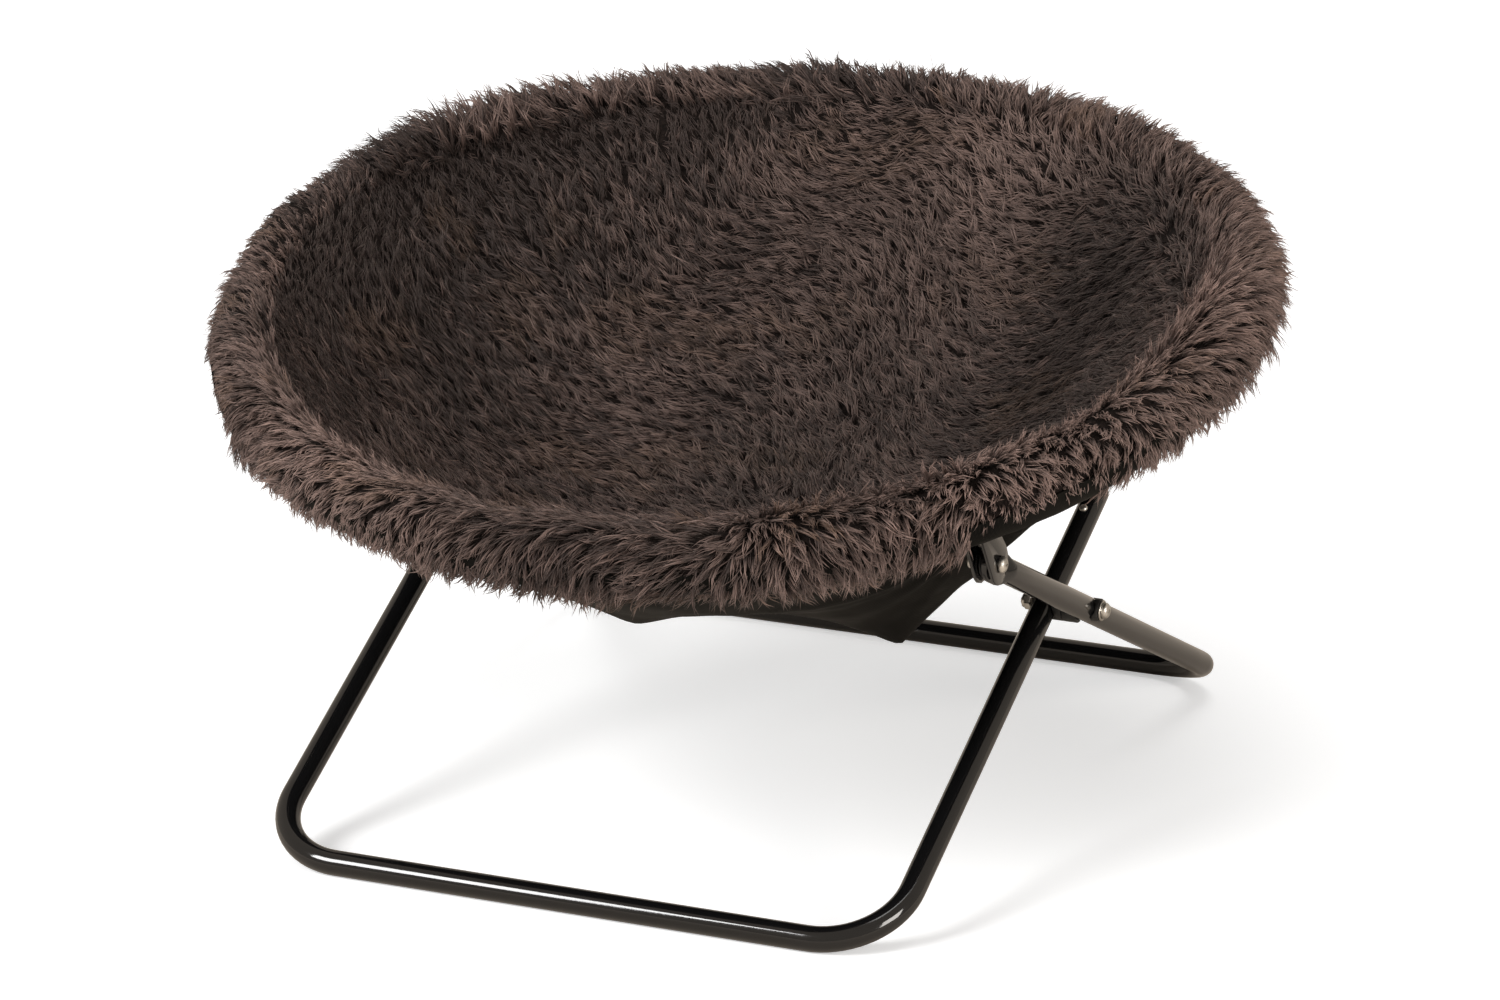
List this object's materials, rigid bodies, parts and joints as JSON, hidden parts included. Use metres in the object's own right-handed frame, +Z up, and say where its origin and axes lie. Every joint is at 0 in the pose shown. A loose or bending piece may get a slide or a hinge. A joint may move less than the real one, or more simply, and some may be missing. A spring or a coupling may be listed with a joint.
{
  "type": "folding pet nest",
  "caption": "Round padded pet nest: a furry dish and thick furry rim hung in a steel-tube hoop, on two U-shaped tube leg frames that cross in an X and fold flat.",
  "frame": {"origin": "on the floor, in the middle of the nest's outline from above", "axes": "+Z up; +X to the right as seen from the low front of the rim; -Y towards the front, where the rim is lowest and the pet steps in"},
  "size_m": [0.5534, 0.5416, 0.3174],
  "materials": {
    "black_paint": "gloss black",
    "zinc": "bright zinc plating",
    "black_plastic": "moulded",
    "nylon": "black nylon",
    "plush": "long-pile plush",
    "wadding": "polyester wadding",
    "black_weave": "plain weave"
  },
  "bodies": {
    "front_legs": {"frame_rivet_left": "zinc", "frame_rivet_right": "zinc", "front_foot_frame": "black_paint", "pivot_bolt_left": "zinc", "pivot_bolt_right": "zinc", "pivot_nut_left": "zinc", "pivot_nut_right": "zinc", "pivot_spacer_inner_left": "black_plastic", "pivot_spacer_inner_right": "black_plastic", "pivot_washer_left": "zinc", "pivot_washer_right": "zinc"},
    "rear_legs": {"pivot_saddle_washer_left": "black_plastic", "pivot_saddle_washer_right": "black_plastic", "pivot_spacer_outer_left": "black_plastic", "pivot_spacer_outer_right": "black_plastic", "rear_foot_frame": "black_paint"},
    "rear_hoop": {"hinge_lug_left": "black_paint", "hinge_lug_right": "black_paint", "hinge_pin_left": "zinc", "hinge_pin_right": "zinc", "hoop_rear_half": "black_paint", "plush_dish_rear": "plush", "rear_hanger_bolt_left": "zinc", "rear_hanger_bolt_right": "zinc", "rear_hanger_left": "black_paint", "rear_hanger_nut_left": "zinc", "rear_hanger_nut_right": "zinc", "rear_hanger_right": "black_paint", "rear_hanger_screw_left": "zinc", "rear_hanger_screw_right": "zinc", "rear_hinge_screw_left": "zinc", "rear_hinge_screw_right": "zinc", "rear_nylon_washer_inner_left": "nylon", "rear_nylon_washer_inner_right": "nylon", "rear_nylon_washer_outer_left": "nylon", "rear_nylon_washer_outer_right": "nylon", "rim_roll_rear": "plush", "sling_rear": "black_weave", "wadding_rear": "wadding"},
    "front_hoop": {"front_hanger_bolt_left": "zinc", "front_hanger_bolt_right": "zinc", "front_hanger_left": "black_paint", "front_hanger_nut_left": "zinc", "front_hanger_nut_right": "zinc", "front_hanger_right": "black_paint", "front_hanger_screw_left": "zinc", "front_hanger_screw_right": "zinc", "front_hinge_screw_left": "zinc", "front_hinge_screw_right": "zinc", "front_nylon_washer_inner_left": "nylon", "front_nylon_washer_inner_right": "nylon", "front_nylon_washer_outer_left": "nylon", "front_nylon_washer_outer_right": "nylon", "hinge_ears_left": "black_paint", "hinge_ears_right": "black_paint", "hoop_front_half": "black_paint", "plush_dish_front": "plush", "rim_roll_front": "plush", "sling_front": "black_weave", "wadding_front": "wadding"}
  },
  "joints": [
    {"name": "leg_fold", "type": "hinge", "parent": "front_legs", "child": "rear_legs", "pos_m": [0, -0.0027, 0.11419], "axis": [-1, 0, 0], "range_deg": [0, 120]},
    {"name": "rear_hoop_swing", "type": "hinge", "parent": "front_legs", "child": "rear_hoop", "pos_m": [0, 0.13657, 0.18212], "axis": [-1, 0, 0], "range_deg": [0, 120]},
    {"name": "hoop_fold", "type": "hinge", "parent": "rear_hoop", "child": "front_hoop", "pos_m": [0, -0.0027, 0.25004], "axis": [1, 0, 0], "range_deg": [0, 120], "deforming": ["plush_dish_front", "wadding_front", "sling_front", "plush_dish_rear", "wadding_rear", "sling_rear"]}
  ],
  "couplings": [
    {"joint": "rear_hoop_swing", "follows": "leg_fold", "ratio": 1},
    {"joint": "hoop_fold", "follows": "leg_fold", "ratio": 1}
  ]
}
